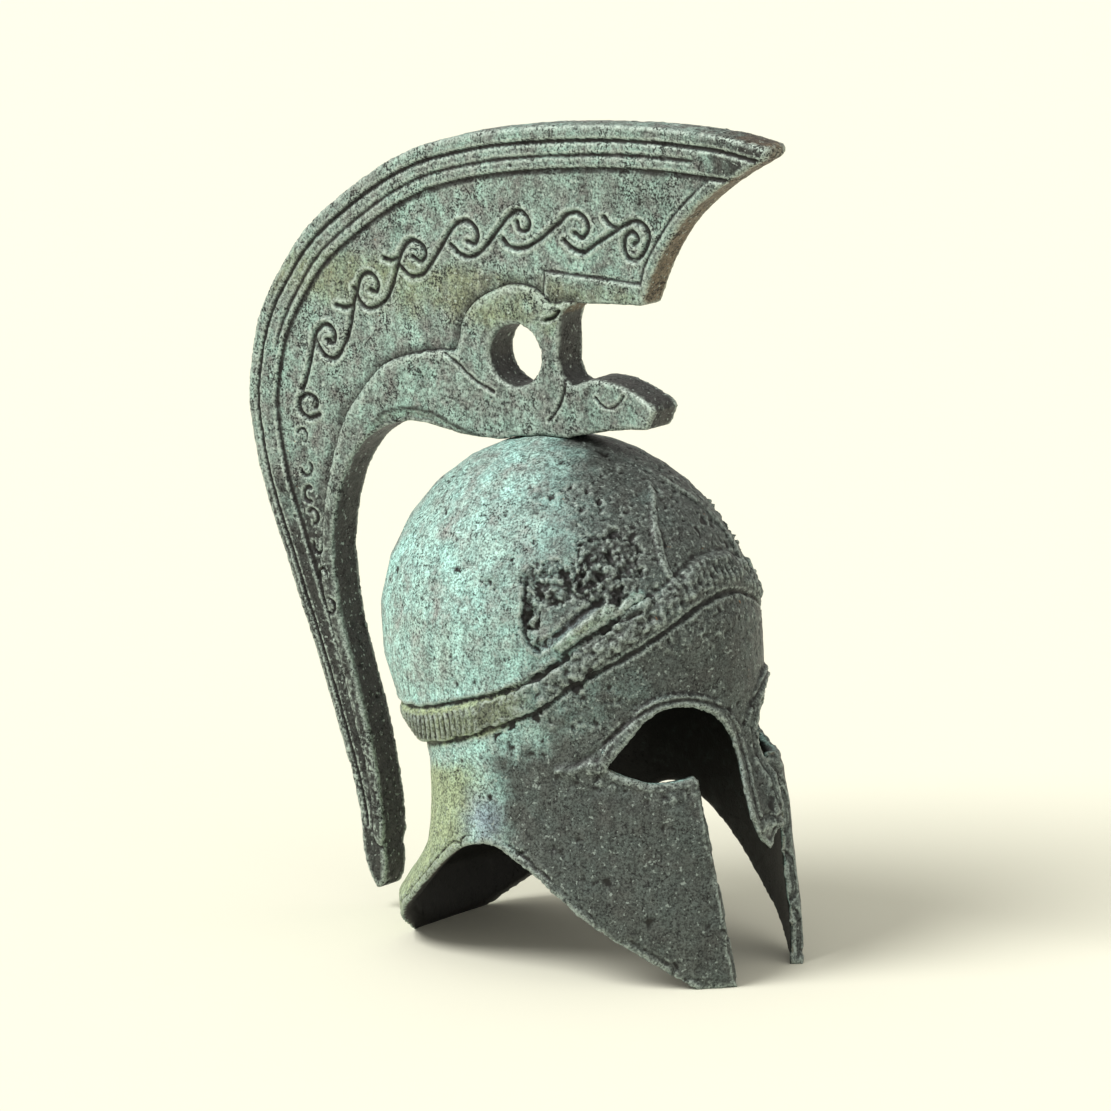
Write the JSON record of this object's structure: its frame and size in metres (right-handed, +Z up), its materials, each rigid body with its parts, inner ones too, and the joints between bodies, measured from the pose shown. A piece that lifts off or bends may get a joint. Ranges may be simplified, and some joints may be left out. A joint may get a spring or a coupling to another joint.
{
  "type": "greek bronze helmet",
  "caption": "Small cast bronze display helmet of the Corinthian type: hollow shell with eye openings, nose guard and cheek pieces, and a tall curved plume crest carried by a serpent.",
  "frame": {"origin": "middle of the object's box at its base, on the surface that the cheek tips and the neck guard stand on", "axes": "+Z up, -Y to the front of the helmet, X across it, so that X = 0 is the middle plane of shell and crest"},
  "size_m": [0.0604, 0.1124, 0.1482],
  "materials": {
    "shell_bronze": "rough cast bronze with green and grey patina",
    "crest_bronze": "rough cast bronze with green and grey patina",
    "pin_bronze": "plain turned bronze"
  },
  "bodies": {
    "root": {"helmet_shell": "shell_bronze", "crest": "crest_bronze", "crest_pin": "pin_bronze"}
  },
  "joints": []
}
